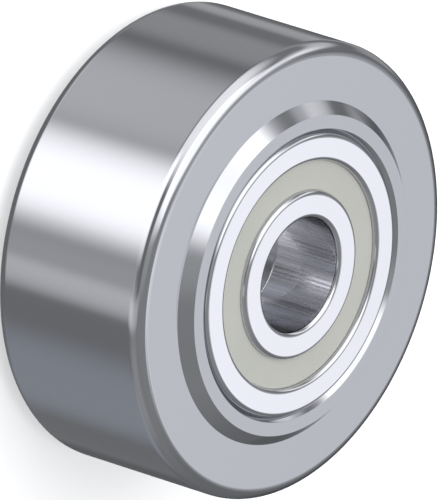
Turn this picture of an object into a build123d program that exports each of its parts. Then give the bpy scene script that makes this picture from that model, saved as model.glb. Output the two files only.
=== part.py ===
"""Heavy-duty castor wheel: a solid steel wheel on two sealed deep-groove ball bearings.

Millimetres. The origin is the wheel's centre and +Z runs along its axle, so the wheel
lies on its side, as it does on a bench.
"""

import math
import os

from build123d import *

# Wheel body
wheel_diameter = 100.0
tread_width = 40.0
rim_edge_radius = 3.0
hub_rise = 2.5
hub_face_width = 3.0
bore_mouth_chamfer = 1.0
seat_corner_radius = 0.6
rib_height = 3.0
rib_edge_chamfer = 0.5

# Ball bearings, one at each end of the hub
axle_diameter = 25.0
bearing_diameter = 62.0
bearing_width = 17.0
ring_corner_radius = 1.0
land_corner_radius = 0.9
land_gap = 6.45

# Balls and the grooves that they run in
ball_count = 7
ball_play = 0.06
groove_to_ball_ratio = 0.52

# Riveted ribbon cage
cage_thickness = 0.7
cage_side_play = 1.4
pocket_play = 0.1
rivet_diameter = 1.6
rivet_head_diameter = 2.8
rivet_head_height = 0.6

# Seals
seal_depth = 1.25
seal_thickness = 0.6
seal_lip_thickness = 1.0
seal_lip_width = 0.5
seal_lip_play = 0.15
seal_bead_height = 0.7
seal_bead_thickness = 1.0
seal_seat_play = 0.1
seal_to_cage_play = 0.3

# Spacer tube between the two inner rings
spacer_wall = 3.0
spacer_chamfer = 0.5

# Sizes that follow from those above
wheel_radius = wheel_diameter / 2
tread_half = tread_width / 2
hub_half = tread_half + hub_rise
axle_radius = axle_diameter / 2
bearing_radius = bearing_diameter / 2
mouth_radius = bearing_radius + bore_mouth_chamfer
hub_face_radius = mouth_radius + hub_face_width
rib_half = hub_half - bearing_width
rib_radius = bearing_radius - rib_height
spacer_length = 2 * rib_half
bearing_middle = hub_half - bearing_width / 2
pitch_radius = (axle_radius + bearing_radius) / 2
inner_land_radius = pitch_radius - land_gap / 2
outer_land_radius = pitch_radius + land_gap / 2

# The balls are as large as the seals and the cage leave room for
seal_face_height = bearing_width / 2 - seal_depth
dome_radius = seal_face_height - seal_thickness - seal_to_cage_play
pocket_radius = dome_radius - cage_thickness
ball_radius = pocket_radius - pocket_play
groove_radius = 2 * ball_radius * groove_to_ball_ratio
cage_inner_radius = inner_land_radius + cage_side_play
cage_outer_radius = outer_land_radius - cage_side_play
pocket_pitch = 360 / ball_count

os.makedirs("parts", exist_ok=True)


def section_plane(middle):
    """A plane through the axle: its X is the radius, its Y the height above a bearing's middle."""
    return Plane.XZ.shift_origin((0, 0, middle))


def save(piece, name):
    """Labels a finished piece and writes it to its own file."""
    piece.label = name
    export_step(piece, f"parts/{name}.step")


def make_wheel_body():
    """One turned steel solid: tread, rim faces, raised hub, two bearing seats and the rib between."""
    upper_outline = [
        (rib_radius, rib_half - rib_edge_chamfer),
        (rib_radius + rib_edge_chamfer, rib_half),
        (bearing_radius, rib_half),
        (bearing_radius, hub_half - bore_mouth_chamfer),
        (mouth_radius, hub_half),
        (hub_face_radius, hub_half),
        (hub_face_radius + hub_rise, tread_half),
        (wheel_radius, tread_half),
    ]
    lower_outline = [(radius, -height) for radius, height in reversed(upper_outline)]
    with BuildPart() as wheel_body:
        with BuildSketch(Plane.XZ) as section:
            with BuildLine():
                Polyline(*upper_outline, *lower_outline, close=True)
            make_face()
            rim_corners = section.vertices().group_by(Axis.X)[-1]
            fillet(rim_corners, rim_edge_radius)
            seat_corners = section.vertices().filter_by(
                lambda corner: math.isclose(corner.X, bearing_radius)
                and math.isclose(abs(corner.Y), rib_half)
            )
            fillet(seat_corners, seat_corner_radius)
        revolve(axis=Axis.Z)
    save(wheel_body.part, "wheel_body")


def make_outer_ring(side, middle):
    """Outer ring: ball groove in the middle of its bore, a seal groove near each end."""
    land_width = bearing_radius - outer_land_radius
    seal_groove_width = seal_bead_thickness + 2 * seal_seat_play
    seal_groove_depth = seal_bead_height + seal_seat_play
    seal_groove_height = seal_face_height - seal_groove_width / 2
    groove_centre = pitch_radius + ball_radius + ball_play - groove_radius
    with BuildPart() as outer_ring:
        with BuildSketch(section_plane(middle)) as section:
            with Locations((outer_land_radius + land_width / 2, 0)):
                Rectangle(land_width, bearing_width)
            corners = section.vertices().group_by(Axis.X)
            fillet(corners[-1], ring_corner_radius)
            fillet(corners[0], land_corner_radius)
            with Locations((groove_centre, 0)):
                Circle(groove_radius, mode=Mode.SUBTRACT)
            for height in (seal_groove_height, -seal_groove_height):
                with Locations((outer_land_radius, height)):
                    Rectangle(2 * seal_groove_depth, seal_groove_width, mode=Mode.SUBTRACT)
        revolve(axis=Axis.Z)
    save(outer_ring.part, f"{side}_outer_ring")


def make_inner_ring(side, middle):
    """Inner ring: plain bore for the axle, ball groove round the middle of its outside."""
    ring_wall = inner_land_radius - axle_radius
    groove_centre = pitch_radius - ball_radius - ball_play + groove_radius
    with BuildPart() as inner_ring:
        with BuildSketch(section_plane(middle)) as section:
            with Locations((axle_radius + ring_wall / 2, 0)):
                Rectangle(ring_wall, bearing_width)
            fillet(section.vertices(), ring_corner_radius)
            with Locations((groove_centre, 0)):
                Circle(groove_radius, mode=Mode.SUBTRACT)
        revolve(axis=Axis.Z)
    save(inner_ring.part, f"{side}_inner_ring")


def make_seal(name, middle, facing):
    """Flat moulded seal: its outer bead is held in the outer ring, its lip runs by the inner ring.

    facing is 1 for the seal on the bearing's upper side and -1 for the lower.
    """
    face = seal_face_height
    lip_radius = inner_land_radius + seal_lip_play
    disc_radius = outer_land_radius - seal_seat_play
    bead_radius = outer_land_radius + seal_bead_height
    bead_face = face - seal_seat_play
    taper = seal_lip_thickness - seal_thickness
    outline = [
        (lip_radius, face),
        (disc_radius, face),
        (disc_radius, bead_face),
        (bead_radius, bead_face),
        (bead_radius, bead_face - seal_bead_thickness),
        (disc_radius, bead_face - seal_bead_thickness),
        (disc_radius - taper, face - seal_thickness),
        (lip_radius + seal_lip_width + taper, face - seal_thickness),
        (lip_radius + seal_lip_width, face - seal_lip_thickness),
        (lip_radius, face - seal_lip_thickness),
    ]
    with BuildPart() as seal:
        with BuildSketch(section_plane(middle)):
            with BuildLine():
                Polyline(*[(radius, facing * height) for radius, height in outline], close=True)
            make_face()
        revolve(axis=Axis.Z)
    save(seal.part, name)


def make_balls(side, middle):
    """The balls, evenly spaced on the pitch circle, each a piece of its own."""
    for number in range(ball_count):
        angle = math.radians(number * pocket_pitch)
        with BuildPart() as ball:
            with Locations((pitch_radius * math.cos(angle), pitch_radius * math.sin(angle), middle)):
                Sphere(ball_radius)
        save(ball.part, f"{side}_ball_{number + 1}")


def make_cage_half(name, middle, facing):
    """Pressed ribbon: a flat ring with a dome over each ball and a rivet hole between domes."""
    cage_plane = Plane((0, 0, middle), x_dir=(1, 0, 0), z_dir=(0, 0, facing))
    with BuildPart(cage_plane) as cage:
        with BuildSketch(cage_plane) as band:
            Circle(cage_outer_radius)
            Circle(cage_inner_radius, mode=Mode.SUBTRACT)
        extrude(amount=cage_thickness)
        with PolarLocations(pitch_radius, ball_count):
            Sphere(dome_radius)
        extrude(band.sketch, amount=dome_radius, mode=Mode.INTERSECT)
        with PolarLocations(pitch_radius, ball_count):
            Sphere(pocket_radius, mode=Mode.SUBTRACT)
        with PolarLocations(pitch_radius, ball_count, start_angle=pocket_pitch / 2):
            Cylinder(rivet_diameter / 2, 4 * cage_thickness, mode=Mode.SUBTRACT)
    save(cage.part, name)


def make_rivets(side, middle):
    """One rivet between each pair of pockets, holding the two cage halves together."""
    with BuildPart(Plane.XY.offset(middle)) as rivets:
        with PolarLocations(pitch_radius, ball_count, start_angle=pocket_pitch / 2):
            Cylinder(rivet_diameter / 2, 2 * cage_thickness)
            for facing in (1, -1):
                head_middle = facing * (cage_thickness + rivet_head_height / 2)
                with Locations((0, 0, head_middle)):
                    Cylinder(rivet_head_diameter / 2, rivet_head_height)
    save(rivets.part, f"{side}_cage_rivets")


def make_spacer_tube():
    """Keeps the two inner rings apart when the axle nut is drawn up."""
    with BuildPart() as spacer_tube:
        with BuildSketch(Plane.XZ) as section:
            with Locations((axle_radius + spacer_wall / 2, 0)):
                Rectangle(spacer_wall, spacer_length)
            chamfer(section.vertices().group_by(Axis.X)[-1], spacer_chamfer)
        revolve(axis=Axis.Z)
    save(spacer_tube.part, "spacer_tube")


make_wheel_body()
make_spacer_tube()
for side, middle in (("upper", bearing_middle), ("lower", -bearing_middle)):
    outward = 1 if middle > 0 else -1
    make_outer_ring(side, middle)
    make_inner_ring(side, middle)
    make_seal(f"{side}_face_seal", middle, outward)
    make_seal(f"{side}_back_seal", middle, -outward)
    make_balls(side, middle)
    make_cage_half(f"{side}_cage_front", middle, outward)
    make_cage_half(f"{side}_cage_back", middle, -outward)
    make_rivets(side, middle)
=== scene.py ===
import math

import bmesh
import bpy
from mathutils import Matrix, Vector


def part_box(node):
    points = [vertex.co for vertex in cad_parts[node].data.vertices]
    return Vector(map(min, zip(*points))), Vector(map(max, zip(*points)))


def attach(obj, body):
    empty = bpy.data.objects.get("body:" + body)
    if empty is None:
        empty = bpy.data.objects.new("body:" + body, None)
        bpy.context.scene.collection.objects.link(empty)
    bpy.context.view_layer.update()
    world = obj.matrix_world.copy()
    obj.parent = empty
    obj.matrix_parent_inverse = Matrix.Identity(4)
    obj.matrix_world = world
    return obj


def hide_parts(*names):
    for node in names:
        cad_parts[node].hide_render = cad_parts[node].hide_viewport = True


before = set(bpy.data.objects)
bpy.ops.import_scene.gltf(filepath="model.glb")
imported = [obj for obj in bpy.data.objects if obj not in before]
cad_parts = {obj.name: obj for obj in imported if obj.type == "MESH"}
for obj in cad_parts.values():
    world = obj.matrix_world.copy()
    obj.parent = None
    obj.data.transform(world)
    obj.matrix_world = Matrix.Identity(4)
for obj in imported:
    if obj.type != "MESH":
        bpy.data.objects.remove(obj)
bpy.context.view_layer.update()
scene = bpy.context.scene


# Wheel body. One solid wheel of free-cutting steel, turned from the bar on a lathe:
# a smooth tread with rounded rims, a raised hub on each face, and a bored seat for
# a bearing at each end with a rib left standing between the two seats.


def ends(node):
    """The heights of a solid's lower and upper ends, in millimetres."""
    low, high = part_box(node)
    return round(low.z * 1000, 3), round(high.z * 1000, 3)


def add_node(tree, kind, inputs=(), **settings):
    """Adds a node: settings are its properties, inputs give a socket's value or what feeds it."""
    node = tree.nodes.new(kind)
    for name, value in settings.items():
        setattr(node, name, value)
    for socket, value in dict(inputs).items():
        if isinstance(value, bpy.types.NodeSocket):
            tree.links.new(value, node.inputs[socket])
        else:
            node.inputs[socket].default_value = value
    return node


def linear(colour):
    """An sRGB hex colour as the linear RGBA that a shader works in."""
    channels = [int(colour[i : i + 2], 16) / 255 for i in (1, 3, 5)]
    return [c / 12.92 if c <= 0.04045 else ((c + 0.055) / 1.055) ** 2.4 for c in channels] + [1]


def bare_material(name):
    """A new material with nothing in its node tree yet."""
    material = bpy.data.materials.new(name)
    material.use_nodes = True
    material.node_tree.nodes.clear()
    return material


def lathe_finish(name, colour, roughness, mark_spacing, mark_depth, polished=None):
    """Metal cut or ground as it spins: fine marks run round the axle, on faces and on cylinders.

    Real marks lie 0.02 to 0.1 mm apart, too fine for the render to show, so each finish draws
    them coarser, at mark_spacing. Spacing and depth are in millimetres. A honed bore has its
    marks along the axle instead, and polished is the roughness of the finer ones among them.
    """
    material = bare_material(name)
    tree = material.node_tree
    place = add_node(tree, "ShaderNodeTexCoord").outputs["Object"]
    axes = add_node(tree, "ShaderNodeSeparateXYZ", {0: place}).outputs
    flat_place = add_node(
        tree, "ShaderNodeCombineXYZ", {"X": axes["X"], "Y": axes["Y"]}
    ).outputs[0]
    radius = add_node(
        tree, "ShaderNodeVectorMath", {0: flat_place}, operation="LENGTH"
    ).outputs["Value"]
    across = add_node(tree, "ShaderNodeCombineXYZ", {"X": radius, "Y": axes["Z"]}).outputs[0]
    if polished is None:
        course = across
        fine_mark, coarse_mark = 0.3, 0.7
        glossiest, dullest = roughness * 0.85, roughness * 1.15
    else:
        course = flat_place
        fine_mark, coarse_mark = 0.45, 0.53
        glossiest, dullest = polished, roughness
    marks = add_node(
        tree,
        "ShaderNodeTexNoise",
        {"Vector": course, "Scale": 1000 / mark_spacing, "Detail": 2.0},
        noise_dimensions="2D",
    ).outputs["Fac"]
    bump = add_node(
        tree,
        "ShaderNodeBump",
        {"Strength": 1.0, "Distance": mark_depth / 1000, "Height": marks},
    )
    gloss = add_node(
        tree,
        "ShaderNodeMapRange",
        {
            "Value": marks,
            "From Min": fine_mark,
            "From Max": coarse_mark,
            "To Min": glossiest,
            "To Max": dullest,
        },
    )
    metal = add_node(
        tree,
        "ShaderNodeBsdfPrincipled",
        {
            "Base Color": linear(colour),
            "Metallic": 1.0,
            "Roughness": gloss.outputs["Result"],
            "Normal": bump.outputs["Normal"],
        },
    )
    add_node(tree, "ShaderNodeOutputMaterial", {"Surface": metal.outputs["BSDF"]})
    return material


def maker_tree(name, inputs):
    """A new geometry tree that gives a Piece, and the sockets of its named inputs."""
    tree = bpy.data.node_groups.new(name, "GeometryNodeTree")
    for label, kind in inputs:
        tree.interface.new_socket(label, in_out="INPUT", socket_type="NodeSocket" + kind)
    tree.interface.new_socket("Piece", in_out="OUTPUT", socket_type="NodeSocketGeometry")
    return tree, add_node(tree, "NodeGroupInput").outputs


def turning_tree():
    """Turns a closed section about the axle. It lies in XY: X is the radius, Y the height."""
    tree, sizes = maker_tree(
        "turned round the axle",
        (
            ("Section", "Geometry"),
            ("Divisions round", "Int"),
            ("Steps in a corner", "Int"),
            ("Finish", "Material"),
            ("Face finish", "Material"),
            ("Bore finish", "Material"),
            ("Bore radius", "Float"),
        ),
    )
    path_radius = 0.001
    flat_from = 0.9999
    corner_radius = add_node(
        tree,
        "GeometryNodeInputNamedAttribute",
        {"Name": "corner_radius"},
        data_type="FLOAT",
    )
    outline = add_node(tree, "GeometryNodeMeshToCurve", {"Mesh": sizes["Section"]})
    rounded = add_node(
        tree,
        "GeometryNodeFilletCurve",
        {
            "Curve": outline.outputs["Curve"],
            "Count": sizes["Steps in a corner"],
            "Radius": corner_radius.outputs["Attribute"],
        },
        mode="POLY",
    )
    path = add_node(
        tree,
        "GeometryNodeCurvePrimitiveCircle",
        {"Resolution": sizes["Divisions round"], "Radius": path_radius},
    )
    upright = add_node(
        tree,
        "GeometryNodeSetCurveNormal",
        {"Curve": path.outputs["Curve"]},
        mode="Z_UP",
    )
    # A profile's X points outwards from an upright circle, and its Y points down
    profile = add_node(
        tree,
        "GeometryNodeTransform",
        {
            "Geometry": rounded.outputs["Curve"],
            "Translation": (-path_radius, 0, 0),
            "Scale": (1, -1, 1),
        },
    )
    turned = add_node(
        tree,
        "GeometryNodeCurveToMesh",
        {"Curve": upright.outputs["Curve"], "Profile Curve": profile.outputs["Geometry"]},
    )
    smooth = add_node(tree, "GeometryNodeSetShadeSmooth", {"Geometry": turned.outputs["Mesh"]})
    real = add_node(tree, "GeometryNodeRealizeInstances", {"Geometry": smooth.outputs["Geometry"]})
    finished = add_node(
        tree,
        "GeometryNodeSetMaterial",
        {"Geometry": real.outputs["Geometry"], "Material": sizes["Finish"]},
    )
    # A face that lies square to the axle may have a finish of its own
    facing = add_node(tree, "GeometryNodeInputNormal")
    along = add_node(tree, "ShaderNodeSeparateXYZ", {0: facing.outputs["Normal"]})
    upright_part = add_node(tree, "ShaderNodeMath", {0: along.outputs["Z"]}, operation="ABSOLUTE")
    square_face = add_node(
        tree,
        "FunctionNodeCompare",
        {"A": upright_part.outputs[0], "B": flat_from},
        data_type="FLOAT",
        operation="GREATER_THAN",
    )
    faced = add_node(
        tree,
        "GeometryNodeSetMaterial",
        {
            "Geometry": finished.outputs["Geometry"],
            "Selection": square_face.outputs["Result"],
            "Material": sizes["Face finish"],
        },
    )
    # So may the bore, which is every face no further from the axle than the bore's radius
    where = add_node(tree, "GeometryNodeInputPosition")
    across = add_node(
        tree,
        "ShaderNodeVectorMath",
        {0: where.outputs["Position"], 1: (1, 1, 0)},
        operation="MULTIPLY",
    )
    reach = add_node(tree, "ShaderNodeVectorMath", {0: across.outputs[0]}, operation="LENGTH")
    in_bore = add_node(
        tree,
        "FunctionNodeCompare",
        {"A": reach.outputs["Value"], "B": sizes["Bore radius"]},
        data_type="FLOAT",
        operation="LESS_THAN",
    )
    bored = add_node(
        tree,
        "GeometryNodeSetMaterial",
        {
            "Geometry": faced.outputs["Geometry"],
            "Selection": in_bore.outputs["Result"],
            "Material": sizes["Bore finish"],
        },
    )
    add_node(tree, "NodeGroupOutput", {"Piece": bored.outputs["Geometry"]})
    return tree


def put_in_scene(name, content):
    """A new object at the origin that holds a mesh, a light or a camera."""
    thing = bpy.data.objects.new(name, content)
    scene.collection.objects.link(thing)
    return thing


def made_by(tree, start, name, **sizes):
    """Runs a tree on a start mesh with the named sizes, and gives a plain mesh object.

    A face or a bore with no finish of its own gets the piece's.
    """
    same_point = 1e-7
    maker = put_in_scene(name + "_maker", start)
    modifier = maker.modifiers.new("maker", "NODES")
    modifier.node_group = tree
    for part in ("face_finish", "bore_finish"):
        sizes.setdefault(part, sizes["finish"])
    for socket in tree.interface.items_tree:
        size = socket.name.lower().replace(" ", "_")
        if size in sizes:
            modifier[socket.identifier] = sizes[size]
    seen = maker.evaluated_get(bpy.context.evaluated_depsgraph_get())
    mesh = bpy.data.meshes.new_from_object(seen)
    mesh.name = name
    maker.modifiers.remove(modifier)
    bpy.data.objects.remove(maker)
    shape = bmesh.new()
    shape.from_mesh(mesh)
    bmesh.ops.remove_doubles(shape, verts=shape.verts, dist=same_point)
    bmesh.ops.recalc_face_normals(shape, faces=shape.faces)
    shape.to_mesh(mesh)
    shape.free()
    return put_in_scene(name, mesh)


def section_of(name, corners):
    """A closed section from corners (radius, height, corner radius) in mm.

    Each straight run gets a point just inside each end, which keeps it flat when shaded smooth.
    """
    guard = 0.04
    points = []
    for i, (radius, height, rounding) in enumerate(corners):
        here = Vector((radius, height))
        before = Vector(corners[i - 1][:2]) - here
        after = Vector(corners[(i + 1) % len(corners)][:2]) - here
        half_turn = (math.pi - before.angle(after)) / 2
        reach = rounding * math.tan(half_turn) + guard
        run_in = here + before.normalized() * reach
        run_out = here + after.normalized() * reach
        if rounding > 0:
            points.append((*run_in, 0.0))
            points.append((*here, rounding))
            points.append((*run_out, 0.0))
        else:
            points.append((*here, 0.0))
    mesh = bpy.data.meshes.new(name + "_section")
    count = len(points)
    mesh.from_pydata(
        [(x / 1000, y / 1000, 0) for x, y, _ in points],
        [(i, (i + 1) % count) for i in range(count)],
        [],
    )
    roundings = mesh.attributes.new("corner_radius", "FLOAT", "POINT")
    roundings.data.foreach_set("value", [r / 1000 for _, _, r in points])
    return mesh


turned_round_axle = turning_tree()

# Free-cutting steel off a fine finishing cut: a bright grey that mirrors the room a little
# softly, so that the tread and the rims carry long blurred bands of light
wheel_steel = lathe_finish(
    "wheel_steel_fine_turned", "#C0C1C6", roughness=0.10, mark_spacing=0.35, mark_depth=0.0002
)
# Sizes are in millimetres. The wheel's middle is at height 0, and a bearing rests on the rib.
_, hub_half = ends("wheel_body")
rib_half, _ = ends("upper_outer_ring")
wheel_radius = 50.0
bearing_radius = 31.0
tread_half = 20.0
rim_edge_radius = 3.0
hub_face_width = 3.0
mouth_chamfer = 1.0
seat_corner = 0.6
rib_height = 3.0
rib_chamfer = 0.5
turned_edge = 0.12
hub_edge = 0.04
cone_foot_edge = 0.05
rib_radius = bearing_radius - rib_height
mouth_radius = bearing_radius + mouth_chamfer
hub_face_radius = mouth_radius + hub_face_width
cone_foot_radius = hub_face_radius + hub_half - tread_half
upper_half = [
    (rib_radius, rib_half - rib_chamfer, turned_edge),
    (rib_radius + rib_chamfer, rib_half, turned_edge),
    (bearing_radius, rib_half, seat_corner),
    (bearing_radius, hub_half - mouth_chamfer, turned_edge),
    (mouth_radius, hub_half, turned_edge),
    (hub_face_radius, hub_half, hub_edge),
    (cone_foot_radius, tread_half, cone_foot_edge),
    (wheel_radius, tread_half, rim_edge_radius),
]
lower_half = [(radius, -height, rounding) for radius, height, rounding in reversed(upper_half)]
wheel_body = made_by(
    turned_round_axle,
    section_of("wheel_body", upper_half + lower_half),
    "turned_wheel_body",
    divisions_round=360,
    steps_in_a_corner=14,
    finish=wheel_steel,
)
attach(wheel_body, "wheel")
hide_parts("wheel_body")


# Spacer tube. A short turned steel tube that stands on the axle between the two inner
# rings and keeps them apart. It is seen only down the bore, beyond the ring.

# Mild steel off a coarser cut than the wheel's: light grey and less sharp in what it mirrors
spacer_steel = lathe_finish(
    "spacer_steel_turned", "#D8D8DC", roughness=0.16, mark_spacing=0.4, mark_depth=0.0004
)
_, spacer_half = ends("spacer_tube")
axle_radius = 12.5
spacer_radius = 15.5
spacer_chamfer = 0.5
spacer_edge = 0.08
spacer_bore_corner = 0.3
spacer_outline = [
    (axle_radius, -spacer_half, spacer_bore_corner),
    (spacer_radius - spacer_chamfer, -spacer_half, spacer_edge),
    (spacer_radius, spacer_chamfer - spacer_half, spacer_edge),
    (spacer_radius, spacer_half - spacer_chamfer, spacer_edge),
    (spacer_radius - spacer_chamfer, spacer_half, spacer_edge),
    (axle_radius, spacer_half, spacer_bore_corner),
]
spacer_tube = made_by(
    turned_round_axle,
    section_of("spacer_tube", spacer_outline),
    "turned_spacer_tube",
    divisions_round=180,
    steps_in_a_corner=4,
    finish=spacer_steel,
)
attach(spacer_tube, "axle_side")
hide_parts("spacer_tube")


# Bearing rings. Hardened bearing steel, turned, then ground on every face and polished:
# the inner ring grips the axle, the outer ring is pressed into its seat in the wheel.
# Each has a ball groove round its middle, and the outer ring has a groove for each seal.

# Hardened chrome steel, tumbled and polished at its corners and on its lands: a darker mirror
bearing_steel = lathe_finish(
    "bearing_steel_polished", "#CDCED3", roughness=0.06, mark_spacing=0.25, mark_depth=0.0001
)
# The end faces are ground flat and catch the light whole; their near-white colour is a painted
# highlight, the same steel as the rest of the ring made brighter to stand in for that light
ground_face_painted_highlight = lathe_finish(
    "bearing_steel_ground_face", "#F7F6FD", roughness=0.08, mark_spacing=0.25, mark_depth=0.0001
)
# The bore is honed lengthwise: a soft grey with thin bright streaks, since its coarser marks
# blur what they mirror and the finer ones between them stay sharp
honed_bore = lathe_finish(
    "bearing_steel_honed_bore",
    "#F2F2F6",
    roughness=0.27,
    mark_spacing=0.22,
    mark_depth=0.00001,
    polished=0.02,
)
bearing_middle = (rib_half + hub_half) / 2
bearing_middles = (("upper", bearing_middle), ("lower", -bearing_middle))
ring_half_width = (hub_half - rib_half) / 2
ring_corner = 1.0
spacer_end_corner = 0.2
land_corner = 0.9
broken_edge = 0.04
bore_margin = 0.02
land_gap = 6.45
pitch_radius = (axle_radius + bearing_radius) / 2
inner_land = pitch_radius - land_gap / 2
outer_land = pitch_radius + land_gap / 2
ball_radius = 5.55
ball_play = 0.06
ball_run = ball_radius + ball_play
groove_to_ball_ratio = 0.52
groove_radius = 2 * ball_radius * groove_to_ball_ratio
groove_steps = 24
seal_depth = 1.25
seal_face_height = ring_half_width - seal_depth
seal_groove_width = 1.2
seal_groove_depth = 0.8


def ball_groove(land_radius, middle, outward):
    """The ball groove's arc, from one edge of its land to the other."""
    centre_radius = pitch_radius + outward * (ball_run - groove_radius)
    edge = math.acos((land_radius - centre_radius) * outward / groove_radius)
    arc = []
    for step in range(groove_steps + 1):
        angle = edge - 2 * edge * step / groove_steps
        arc.append(
            (
                centre_radius + outward * groove_radius * math.cos(angle),
                middle + outward * groove_radius * math.sin(angle),
                broken_edge if step in (0, groove_steps) else 0.0,
            )
        )
    return arc


def seal_groove(middle, facing):
    """The groove that holds a seal's bead, from the ring's end inwards. facing is 1 at the top."""
    groove_floor = outer_land + seal_groove_depth
    groove_end = seal_face_height - seal_groove_width
    return [
        (radius, middle + facing * height, broken_edge)
        for radius, height in (
            (outer_land, seal_face_height),
            (groove_floor, seal_face_height),
            (groove_floor, groove_end),
            (outer_land, groove_end),
        )
    ]


for side, middle in bearing_middles:
    top, bottom = middle + ring_half_width, middle - ring_half_width
    outer_ring = made_by(
        turned_round_axle,
        section_of(
            side + "_outer_ring",
            [
                (bearing_radius, bottom, ring_corner),
                (bearing_radius, top, ring_corner),
                (outer_land, top, land_corner),
                *seal_groove(middle, 1),
                *ball_groove(outer_land, middle, 1),
                *reversed(seal_groove(middle, -1)),
                (outer_land, bottom, land_corner),
            ],
        ),
        f"ground_{side}_outer_ring",
        divisions_round=300,
        steps_in_a_corner=8,
        finish=bearing_steel,
        # The end faces take the near-white face steel, whose brightness is a painted highlight
        face_finish=ground_face_painted_highlight,
    )
    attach(outer_ring, "wheel")
    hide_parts(side + "_outer_ring")

    # The bore's inner end meets the spacer with a finer corner than the end that is seen
    top_corner = ring_corner if middle > 0 else spacer_end_corner
    bottom_corner = ring_corner if middle < 0 else spacer_end_corner
    inner_ring = made_by(
        turned_round_axle,
        section_of(
            side + "_inner_ring",
            [
                (axle_radius, top, top_corner),
                (axle_radius, bottom, bottom_corner),
                (inner_land, bottom, ring_corner),
                *ball_groove(inner_land, middle, -1),
                (inner_land, top, ring_corner),
            ],
        ),
        f"ground_{side}_inner_ring",
        divisions_round=256,
        steps_in_a_corner=8,
        finish=bearing_steel,
        # The end faces take the near-white face steel, whose brightness is a painted highlight
        face_finish=ground_face_painted_highlight,
        bore_finish=honed_bore,
        bore_radius=(axle_radius + bore_margin) / 1000,
    )
    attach(inner_ring, "axle_side")
    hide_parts(side + "_inner_ring")


# Bearing seals. Flat rings of moulded nitrile rubber, pale and matt, one at each end of
# a bearing: the bead at the rim snaps into the outer ring's groove, and the lip runs
# just clear of the inner ring.

# Filled nitrile rubber as it leaves the mould: a matt grey with a little green in it, which
# mirrors nothing and is faintly clouded, with a fine grain. Real grain is about 0.05 mm
# across, and is drawn coarser so that the render shows it.
grain_size = 0.3
grain_depth = 0.01
cloud_size = 9.0
seal_rubber = bare_material("nitrile_rubber_moulded")
tree = seal_rubber.node_tree
place = add_node(tree, "ShaderNodeTexCoord").outputs["Object"]
grain = add_node(
    tree,
    "ShaderNodeTexNoise",
    {"Vector": place, "Scale": 1000 / grain_size, "Detail": 3.0},
)
cloud = add_node(
    tree,
    "ShaderNodeTexNoise",
    {"Vector": place, "Scale": 1000 / cloud_size, "Detail": 2.0},
)
tone = add_node(
    tree,
    "ShaderNodeMix",
    {"Factor": cloud.outputs["Fac"], "A": linear("#A0A19B"), "B": linear("#A7A7A2")},
    data_type="RGBA",
)
grain_bump = add_node(
    tree,
    "ShaderNodeBump",
    {"Strength": 1.0, "Distance": grain_depth / 1000, "Height": grain.outputs["Fac"]},
)
rubber = add_node(
    tree,
    "ShaderNodeBsdfPrincipled",
    {
        "Base Color": tone.outputs["Result"],
        "Roughness": 0.6,
        "IOR": 1.52,
        "Normal": grain_bump.outputs["Normal"],
    },
)
add_node(tree, "ShaderNodeOutputMaterial", {"Surface": rubber.outputs["BSDF"]})

seal_thickness = 0.6
lip_thickness = 1.0
lip_width = 0.63
lip_gap = 0.02
bead_thickness = 1.0
bead_height = 0.7
seat_play = 0.1
seal_taper = lip_thickness - seal_thickness
seal_back_height = seal_face_height - seal_thickness
lip_radius = inner_land + lip_gap
lip_back_radius = lip_radius + lip_width
lip_back_height = seal_face_height - lip_thickness
disc_radius = outer_land - seat_play
bead_radius = outer_land + bead_height
bead_face_height = seal_face_height - seat_play
bead_back_height = bead_face_height - bead_thickness
lip_edge = 0.03
disc_edge = 0.04
moulded_edge = 0.1
seal_outline = [
    (lip_radius, seal_face_height, lip_edge),
    (disc_radius, seal_face_height, disc_edge),
    (disc_radius, bead_face_height, 0.0),
    (bead_radius, bead_face_height, moulded_edge),
    (bead_radius, bead_back_height, moulded_edge),
    (disc_radius, bead_back_height, moulded_edge),
    (disc_radius - seal_taper, seal_back_height, moulded_edge),
    (lip_back_radius + seal_taper, seal_back_height, moulded_edge),
    (lip_back_radius, lip_back_height, moulded_edge),
    (lip_radius, lip_back_height, moulded_edge),
]
for side, middle in bearing_middles:
    outward = 1 if middle > 0 else -1
    for end, facing in (("face", outward), ("back", -outward)):
        corners = [(r, middle + facing * height, edge) for r, height, edge in seal_outline]
        seal = made_by(
            turned_round_axle,
            section_of(f"{side}_{end}_seal", corners),
            f"moulded_{side}_{end}_seal",
            divisions_round=256,
            steps_in_a_corner=4,
            finish=seal_rubber,
        )
        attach(seal, "wheel")
        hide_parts(f"{side}_{end}_seal")


# Balls. Seven to a bearing, of hardened chrome steel lapped round, spaced evenly on the
# pitch circle by the cage. They run in the rings' grooves, out of sight behind the seals.


def turned_solid(name, outline, divisions):
    """A solid turned about its own upright axis, from (radius, height) in mm, pole to pole."""
    (_, foot), *belts, (_, crown) = outline
    points = [(0, 0, foot / 1000)]
    for radius, height in belts:
        across = radius / 1000
        for step in range(divisions):
            angle = math.tau * step / divisions
            points.append((across * math.cos(angle), across * math.sin(angle), height / 1000))
    points.append((0, 0, crown / 1000))
    top_belt = 1 + (len(belts) - 1) * divisions
    faces = []
    for step in range(divisions):
        beside = (step + 1) % divisions
        faces.append((0, 1 + beside, 1 + step))
        for low in range(1, top_belt, divisions):
            high = low + divisions
            faces.append((low + step, low + beside, high + beside, high + step))
        faces.append((top_belt + step, top_belt + beside, len(points) - 1))
    mesh = bpy.data.meshes.new(name)
    mesh.from_pydata(points, [], faces)
    mesh.shade_smooth()
    return mesh


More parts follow.
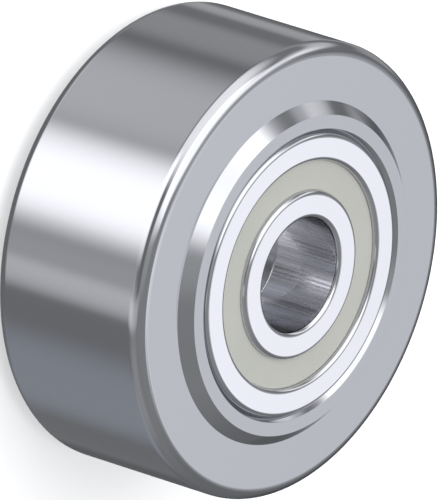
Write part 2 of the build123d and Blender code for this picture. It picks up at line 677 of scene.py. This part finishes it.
def spacing_tree():
    """Sets copies of one part evenly round the axle at one height, each turned to its place."""
    tree, sizes = maker_tree(
        "spaced round the axle",
        (
            ("Part", "Geometry"),
            ("Count", "Int"),
            ("Pitch radius", "Float"),
            ("First angle", "Float"),
            ("Height", "Float"),
            ("Finish", "Material"),
        ),
    )

    def turn_about_axle(angle):
        """A turn by this angle about the axle."""
        euler = add_node(tree, "ShaderNodeCombineXYZ", {"Z": angle})
        turn = add_node(tree, "FunctionNodeEulerToRotation", {"Euler": euler.outputs[0]})
        return turn.outputs["Rotation"]

    circle = add_node(
        tree,
        "GeometryNodeMeshCircle",
        {"Vertices": sizes["Count"], "Radius": sizes["Pitch radius"]},
    )
    lift = add_node(tree, "ShaderNodeCombineXYZ", {"Z": sizes["Height"]})
    places = add_node(
        tree,
        "GeometryNodeTransform",
        {
            "Geometry": circle.outputs["Mesh"],
            "Translation": lift.outputs[0],
            "Rotation": turn_about_axle(sizes["First angle"]),
        },
    )
    number = add_node(tree, "GeometryNodeInputIndex").outputs["Index"]
    share = add_node(tree, "ShaderNodeMath", {0: math.tau, 1: sizes["Count"]}, operation="DIVIDE")
    angle = add_node(
        tree,
        "ShaderNodeMath",
        {0: number, 1: share.outputs[0], 2: sizes["First angle"]},
        operation="MULTIPLY_ADD",
    )
    copies = add_node(
        tree,
        "GeometryNodeInstanceOnPoints",
        {
            "Points": places.outputs["Geometry"],
            "Instance": sizes["Part"],
            "Rotation": turn_about_axle(angle.outputs[0]),
        },
    )
    real = add_node(
        tree, "GeometryNodeRealizeInstances", {"Geometry": copies.outputs["Instances"]}
    )
    finished = add_node(
        tree,
        "GeometryNodeSetMaterial",
        {"Geometry": real.outputs["Geometry"], "Material": sizes["Finish"]},
    )
    add_node(tree, "NodeGroupOutput", {"Piece": finished.outputs["Geometry"]})
    return tree


spaced_round_axle = spacing_tree()

# Chrome steel lapped round: the sharpest mirror in the wheel
ball_steel = lathe_finish(
    "ball_steel_lapped", "#C4C5C9", roughness=0.04, mark_spacing=0.5, mark_depth=0.00003
)
ball_count = 7
ball_belts = 24
ball_divisions = 48
ball_outline = [
    (ball_radius * math.sin(angle), -ball_radius * math.cos(angle))
    for angle in (math.pi * belt / ball_belts for belt in range(ball_belts + 1))
]
for side, middle in bearing_middles:
    balls = made_by(
        spaced_round_axle,
        turned_solid(side + "_ball", ball_outline, ball_divisions),
        f"lapped_{side}_balls",
        count=ball_count,
        pitch_radius=pitch_radius / 1000,
        height=middle / 1000,
        finish=ball_steel,
    )
    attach(balls, side + "_ball_set")
    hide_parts(*[f"{side}_ball_{number + 1}" for number in range(ball_count)])


# Cages. Each is two ribbons pressed from cold-rolled strip, domed over every ball. Between
# the balls they lie flat on each other and are riveted through a punched hole.

# Cold-rolled strip: a dull, slightly warm sheen with no clear image
cage_steel = lathe_finish(
    "cage_steel_pressed", "#B9B8B4", roughness=0.28, mark_spacing=0.6, mark_depth=0.0006
)
strip_thickness = 0.7
ribbon_side_play = 1.4
ribbon_inner = inner_land + ribbon_side_play
ribbon_outer = outer_land - ribbon_side_play
pocket_play = 0.1
pocket_radius = ball_radius + pocket_play
bend_radius = 0.4
rivet_radius = 0.8
ball_spacing = math.tau / ball_count
ribbon_steps = 8
dome_steps = 20
bend_steps = 5
flat_steps = 8
edge_angle = math.radians(40)


def angle_from_ball(radius, height, sphere):
    """How far round from a ball's middle the sphere stands at this height, at this radius."""
    reach = sphere**2 - height**2
    return math.acos(min(1, (radius**2 + pitch_radius**2 - reach) / (2 * radius * pitch_radius)))


def dome_line(radius, sphere, flat):
    """(angle, height) along one radius, from over a ball down round the bend to the flat."""
    crown = math.sqrt(sphere**2 - (radius - pitch_radius) ** 2)
    lowest = math.asin((flat + bend_radius) / crown)
    line = []
    for step in range(dome_steps + 1):
        rise = math.pi / 2 + (lowest - math.pi / 2) * step / dome_steps
        height = crown * math.sin(rise)
        line.append((angle_from_ball(radius, height, sphere), height))
    start, top = line[-1]
    foot = angle_from_ball(radius, flat, sphere) + bend_radius / radius
    for step in range(1, bend_steps + 1):
        turn = math.pi / 2 * step / bend_steps
        line.append(
            (foot - (foot - start) * math.cos(turn), flat + (top - flat) * (1 - math.sin(turn)))
        )
    return line


def ribbon_share(name, facing):
    """The ribbon from one ball's middle to the next: both sides, the edges and the rivet hole.

    facing is 1 for the ribbon that lies above the balls' middles and -1 for the one below.
    """
    points, faces = [], []

    def place(radius, angle, height):
        """A point round the axle, in metres from millimetres."""
        across = radius / 1000
        return (across * math.cos(angle), across * math.sin(angle), facing * height / 1000)

    def join(*lines):
        """Fills the strips between lines that have the same number of points."""
        for line, beside in zip(lines, lines[1:]):
            first, count = len(points), len(line)
            points.extend(line + beside)
            for i in range(first, first + count - 1):
                faces.append((i, i + 1, i + 1 + count, i + count))

    radii = [
        ribbon_inner + (ribbon_outer - ribbon_inner) * step / ribbon_steps
        for step in range(ribbon_steps + 1)
    ]
    directions = []
    sides = []
    # The strip's outer side comes first, and then the side that faces the balls
    for flat in (strip_thickness, 0.0):
        lines = [dome_line(radius, pocket_radius + flat, flat) for radius in radii]
        down = [[place(r, a, h) for a, h in line] for r, line in zip(radii, lines)]
        up = [[place(r, ball_spacing - a, h) for a, h in line] for r, line in zip(radii, lines)]
        join(*down)
        join(*up)

        # The flat lies between the two bends, and is filled in from its border to its hole
        rows = []
        for end in (0, -1):
            foot = lines[end][-1][0]
            gap = (ball_spacing - 2 * foot) / flat_steps
            rows.append([place(radii[end], foot + gap * i, flat) for i in range(flat_steps + 1)])
        border = [line[-1] for line in down] + rows[1][1:-1]
        border += [line[-1] for line in reversed(up)] + rows[0][-2::-1]
        hole_x, hole_y, hole_z = place(pitch_radius, ball_spacing / 2, flat)
        if not directions:
            directions = [math.atan2(y - hole_y, x - hole_x) for x, y, _ in border]
        across = rivet_radius / 1000
        hole = [
            (hole_x + across * math.cos(angle), hole_y + across * math.sin(angle), hole_z)
            for angle in directions
        ]
        halfway = [tuple((a + b) / 2 for a, b in zip(p, q)) for p, q in zip(border, hole)]
        join(border, halfway, hole)
        inner_edge = down[0] + rows[0][1:-1] + up[0][::-1]
        outer_edge = down[-1] + rows[1][1:-1] + up[-1][::-1]
        sides.append((inner_edge, outer_edge, hole))
    for outside, inside in zip(*sides):
        join(outside, inside)
    mesh = bpy.data.meshes.new(name)
    mesh.from_pydata(points, [], faces)
    mesh.shade_smooth()
    return mesh


for side, middle in bearing_middles:
    outward = 1 if middle > 0 else -1
    for half, facing in (("front", outward), ("back", -outward)):
        ribbon = made_by(
            spaced_round_axle,
            ribbon_share(f"{side}_cage_{half}_share", facing),
            f"pressed_{side}_cage_{half}",
            count=ball_count,
            pitch_radius=0.0,
            height=middle / 1000,
            finish=cage_steel,
        )
        ribbon.data.set_sharp_from_angle(angle=edge_angle)
        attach(ribbon, side + "_ball_set")
        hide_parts(f"{side}_cage_{half}")


# Cage rivets. Soft steel, one between each two balls: a plain shank through both ribbons,
# with a low domed head pressed up at each end.

# Soft steel wire, headed cold: a little brighter than the strip that it holds
rivet_steel = lathe_finish(
    "rivet_steel_headed", "#BDBEC0", roughness=0.22, mark_spacing=0.4, mark_depth=0.0004
)
rivet_divisions = 32
head_radius = 1.4
head_height = 0.6
head_rise = 0.45
head_steps = 6
head_top = strip_thickness + head_height
head_curve = (head_radius**2 + head_rise**2) / (2 * head_rise)
head_reach = math.asin(head_radius / head_curve)
upper_end = [
    (rivet_radius, strip_thickness),
    (rivet_radius + broken_edge, strip_thickness),
    (head_radius - broken_edge, strip_thickness),
    (head_radius, strip_thickness + broken_edge),
]
for step in range(head_steps + 1):
    angle = head_reach * (1 - step / head_steps)
    drop = head_curve * (1 - math.cos(angle))
    upper_end.append((head_curve * math.sin(angle), head_top - drop))
rivet_outline = [(radius, -height) for radius, height in reversed(upper_end)] + upper_end
for side, middle in bearing_middles:
    rivets = made_by(
        spaced_round_axle,
        turned_solid(side + "_rivet", rivet_outline, rivet_divisions),
        f"headed_{side}_rivets",
        count=ball_count,
        pitch_radius=pitch_radius / 1000,
        first_angle=math.pi / ball_count,
        height=middle / 1000,
        finish=rivet_steel,
    )
    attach(rivets, side + "_ball_set")
    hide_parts(side + "_cage_rivets")


# Studio. A plain pale floor under the wheel, soft panels all round it that the steel
# mirrors, and one broad overhead light for the floor and the rubber.

floor_gap = 0.1
floor_place = Matrix.Translation((0, 0, -(hub_half + floor_gap) / 1000))
floor_shape = bmesh.new()
bmesh.ops.create_circle(floor_shape, cap_ends=True, segments=96, radius=0.6, matrix=floor_place)
floor_mesh = bpy.data.meshes.new("studio_floor")
floor_shape.to_mesh(floor_mesh)
floor_shape.free()
floor = put_in_scene("studio_floor", floor_mesh)
floor_paint = bare_material("floor_matt_white")
tree = floor_paint.node_tree
paint = add_node(tree, "ShaderNodeBsdfDiffuse", {"Color": linear("#F5F5F5")})
add_node(tree, "ShaderNodeOutputMaterial", {"Surface": paint.outputs["BSDF"]})
floor_mesh.materials.append(floor_paint)
floor.visible_glossy = False
floor.visible_shadow = False

# Each panel: azimuth, half width and soft edge; lowest and highest elevation and soft edge,
# all in degrees; then strength and tint. A dark card has a strength below nought, and takes
# light away. The tread mirrors mostly the low panels, the cone and the rims those on the
# walls, and the flat faces the high ones.
low_panels = (
    (260, 15, 30, -50, 5, 15, 1.66, "white"),
    (210, 20, 35, -50, -35, 15, 0.64, "white"),
    (155, 10, 15, -50, -20, 15, 0.17, "white"),
    (120, 5, 10, -50, 10, 15, 0.24, "white"),
    (300, 10, 20, -50, -10, 15, 0.27, "white"),
    (5, 15, 35, -50, -10, 15, 0.14, "blue"),
)
wall_panels = (
    (210, 30, 30, -25, 40, 10, 1.16, "white"),
    (145, 5, 10, -15, 40, 25, 0.52, "white"),
    (305, 5, 15, -20, 10, 15, 0.19, "white"),
    (310, 5, 10, -40, 35, 15, 0.34, "white"),
    (345, 20, 30, -15, 25, 25, 0.13, "white"),
)
high_panels = (
    (215, 50, 35, 35, 80, 10, 1.48, "white"),
    (150, 20, 25, 45, 80, 20, 0.60, "white"),
    (150, 5, 15, 20, 70, 35, 0.70, "white"),
    (270, 30, 40, 35, 70, 15, 0.14, "white"),
    (80, 10, 20, 55, 65, 20, 0.98, "cool"),
    (95, 15, 25, 25, 75, 25, 0.30, "cool"),
    (90, 5, 10, 35, 50, 15, 0.54, "cool"),
)
dark_cards = (
    (85, 20, 15, -50, 5, 15, -0.09, "white"),
    (85, 45, 40, -35, 45, 25, -0.08, "white"),
    (275, 25, 10, 10, 30, 10, -0.09, "white"),
)
soft_panels = low_panels + wall_panels + high_panels + dark_cards
# Cool light is a shade bluer than white, and so is the room's own light
tints = (("cool", (0.99, 1.01, 1.03)), ("blue", (0.88, 1.0, 1.24)))
darkest = (0.03, 0.03, 0.03)
studio = bpy.data.worlds.new("studio")
studio.use_nodes = True
scene.world = studio
tree = studio.node_tree
tree.nodes.clear()
direction = add_node(tree, "ShaderNodeTexCoord").outputs["Generated"]
axes = add_node(tree, "ShaderNodeSeparateXYZ", {0: direction}).outputs
level = add_node(tree, "ShaderNodeCombineXYZ", {"X": axes["X"], "Y": axes["Y"]}).outputs[0]
heading = add_node(
    tree, "ShaderNodeVectorMath", {0: level}, operation="NORMALIZE"
).outputs["Vector"]
height = axes["Z"]
# The room's own light is a little stronger from above than from below
from_below, from_above = 0.22, 0.34
room_light = add_node(
    tree,
    "ShaderNodeMapRange",
    {
        "Value": height,
        "From Min": -0.9,
        "From Max": 0.9,
        "To Min": from_below,
        "To Max": from_above,
    },
).outputs["Result"]
light = {"cool": room_light, "white": 0.0, "blue": 0.0}
for azimuth, half_width, side_edge, lowest, highest, end_edge, strength, tint in soft_panels:
    centre = (math.cos(math.radians(azimuth)), math.sin(math.radians(azimuth)), 0)
    towards = add_node(
        tree, "ShaderNodeVectorMath", {0: heading, 1: centre}, operation="DOT_PRODUCT"
    ).outputs["Value"]
    edges = (
        (towards, half_width + side_edge / 2, max(half_width - side_edge / 2, 0), math.cos),
        (height, lowest - end_edge / 2, lowest + end_edge / 2, math.sin),
        (height, highest + end_edge / 2, highest - end_edge / 2, math.sin),
    )
    shade = strength
    for value, dark, bright, measure in edges:
        inside = add_node(
            tree,
            "ShaderNodeMapRange",
            {
                "Value": value,
                "From Min": measure(math.radians(dark)),
                "From Max": measure(math.radians(bright)),
            },
            interpolation_type="SMOOTHSTEP",
        ).outputs["Result"]
        shade = add_node(
            tree, "ShaderNodeMath", {0: inside, 1: shade}, operation="MULTIPLY"
        ).outputs[0]
    light[tint] = add_node(tree, "ShaderNodeMath", {0: shade, 1: light[tint]}).outputs[0]
light_colour = light["white"]
for tint, colour in tints:
    light_colour = add_node(
        tree,
        "ShaderNodeVectorMath",
        {0: light[tint], 1: colour, 2: light_colour},
        operation="MULTIPLY_ADD",
    ).outputs[0]
light_left = add_node(
    tree, "ShaderNodeVectorMath", {0: light_colour, 1: darkest}, operation="MAXIMUM"
)
# The panels light the wheel and the floor, and the camera sees a plain white backdrop instead
lit = add_node(tree, "ShaderNodeBackground", {"Color": light_left.outputs[0]})
backdrop = add_node(tree, "ShaderNodeBackground", {"Color": (1, 1, 1, 1)})
seen_directly = add_node(tree, "ShaderNodeLightPath").outputs["Is Camera Ray"]
mixed = add_node(
    tree,
    "ShaderNodeMixShader",
    {0: seen_directly, 1: lit.outputs[0], 2: backdrop.outputs[0]},
)
add_node(tree, "ShaderNodeOutputWorld", {"Surface": mixed.outputs[0]})

overhead = bpy.data.lights.new("overhead_softbox", "AREA")
overhead.shape = "DISK"
overhead.size = 2.4
overhead.energy = 24
overhead.use_shadow = False
overhead_light = put_in_scene("overhead_softbox", overhead)
overhead_light.location = (0, 0, 1.6)
overhead_light.visible_glossy = False
overhead_light.visible_camera = False


# Camera. A long lens from far off, above the upper face and rolled, as the photograph
# was taken, so that the wheel's two rims look almost the same size.

camera_data = bpy.data.cameras.new("camera")
camera = put_in_scene("camera", camera_data)
scene.camera = camera
towards_camera = Vector((0.0, -0.80087, 0.59884)).normalized()
photo_right = Vector((-0.30063, 0.57114, 0.76382)).normalized()
photo_up = towards_camera.cross(photo_right).normalized()
photo_right = photo_up.cross(towards_camera)
# In metres. The photograph spans photo_height from its foot to its top, and its middle lies
# to the left of the upper face's middle and a little above it.
distance = 4.0
photo_height = 0.10557
left_of_face = 0.0172719
above_face = 0.0054495
upper_face = Vector((0, 0, hub_half / 1000))
aim = upper_face - left_of_face * photo_right + above_face * photo_up
turn = Matrix((photo_right, photo_up, towards_camera)).transposed().to_4x4()
camera.matrix_world = Matrix.Translation(aim + distance * towards_camera) @ turn
camera_data.sensor_width = 36
camera_data.lens = camera_data.sensor_width * distance / photo_height
camera_data.clip_start = 0.5
camera_data.clip_end = 6.0

scene.view_settings.view_transform = "Standard"
